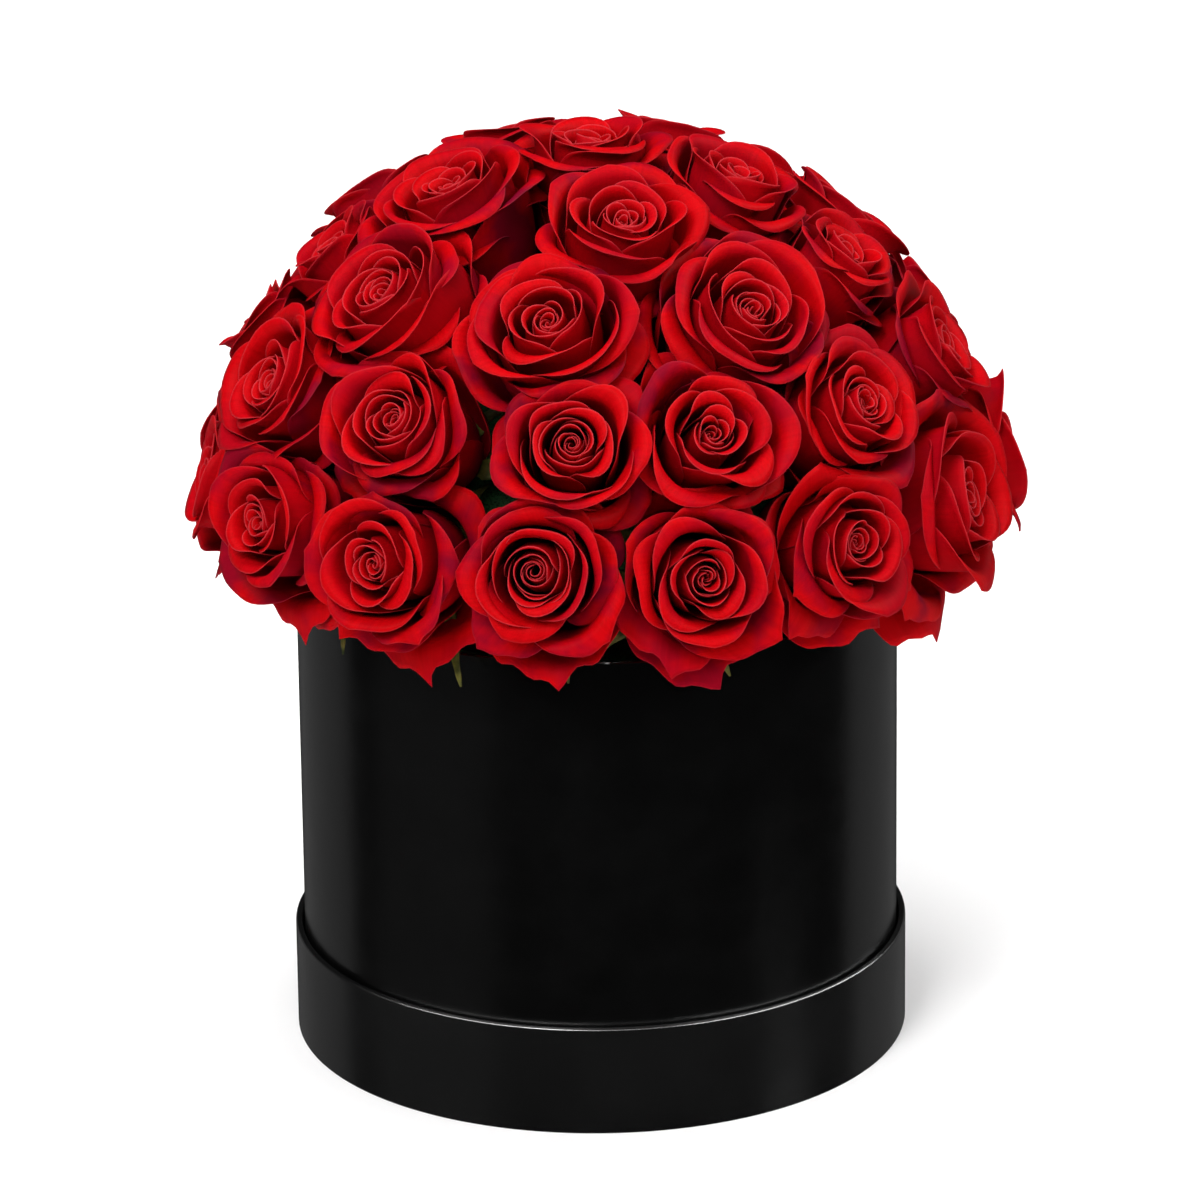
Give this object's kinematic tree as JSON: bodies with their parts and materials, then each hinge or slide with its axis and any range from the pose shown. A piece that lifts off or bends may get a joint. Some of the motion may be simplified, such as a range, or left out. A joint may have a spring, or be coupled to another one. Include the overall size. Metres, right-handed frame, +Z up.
{
  "type": "flower box",
  "caption": "Round covered-board flower box standing in its own lid, with a foam-filled liner and a dome of cut red roses.",
  "frame": {"origin": "centre of the underside of the lid, which is the base it all stands on", "axes": "+Z up, front of the arrangement towards -Y"},
  "size_m": [0.2839, 0.2817, 0.3259],
  "materials": {
    "black_laminated_paper": "satin",
    "black_lining_paper": "matte",
    "greyboard": "matte",
    "clear_liner": "gloss",
    "wet_foam": "matte",
    "red_rose": "velvety"
  },
  "bodies": {
    "lid": {"lid_covering": "black_laminated_paper", "lid_disc_board": "greyboard", "lid_face_paper": "black_laminated_paper", "lid_floor_lining": "black_lining_paper", "lid_wall_board": "greyboard", "lid_wall_lining": "black_lining_paper"},
    "box": {"box_covering": "black_laminated_paper", "box_disc_board": "greyboard", "box_face_paper": "black_laminated_paper", "box_floor_lining": "black_lining_paper", "box_wall_board": "greyboard", "box_wall_lining": "black_lining_paper"},
    "insert": {"foam_dome": "wet_foam", "foam_lower_block": "wet_foam", "foam_upper_block": "wet_foam", "rose_tier0_01": "red_rose", "rose_tier1_01": "red_rose", "rose_tier1_02": "red_rose", "rose_tier1_03": "red_rose", "rose_tier1_04": "red_rose", "rose_tier1_05": "red_rose", "rose_tier2_01": "red_rose", "rose_tier2_02": "red_rose", "rose_tier2_03": "red_rose", "rose_tier2_04": "red_rose", "rose_tier2_05": "red_rose", "rose_tier2_06": "red_rose", "rose_tier2_07": "red_rose", "rose_tier2_08": "red_rose", "rose_tier2_09": "red_rose", "rose_tier2_10": "red_rose", "rose_tier3_01": "red_rose", "rose_tier3_02": "red_rose", "rose_tier3_03": "red_rose", "rose_tier3_04": "red_rose", "rose_tier3_05": "red_rose", "rose_tier3_06": "red_rose", "rose_tier3_07": "red_rose", "rose_tier3_08": "red_rose", "rose_tier3_09": "red_rose", "rose_tier3_10": "red_rose", "rose_tier3_11": "red_rose", "rose_tier3_12": "red_rose", "rose_tier4_01": "red_rose", "rose_tier4_02": "red_rose", "rose_tier4_03": "red_rose", "rose_tier4_04": "red_rose", "rose_tier4_05": "red_rose", "rose_tier4_06": "red_rose", "rose_tier4_07": "red_rose", "rose_tier4_08": "red_rose", "rose_tier4_09": "red_rose", "rose_tier4_10": "red_rose", "rose_tier4_11": "red_rose", "rose_tier4_12": "red_rose", "rose_tier4_13": "red_rose", "rose_tier4_14": "red_rose", "waterproof_liner": "clear_liner"}
  },
  "joints": [
    {"name": "box_lift", "type": "slide", "parent": "lid", "child": "box", "axis": [0, 0, 1], "range_m": [0, 0.06]},
    {"name": "insert_lift", "type": "slide", "parent": "box", "child": "insert", "axis": [0, 0, 1], "range_m": [0, 0.19]}
  ]
}
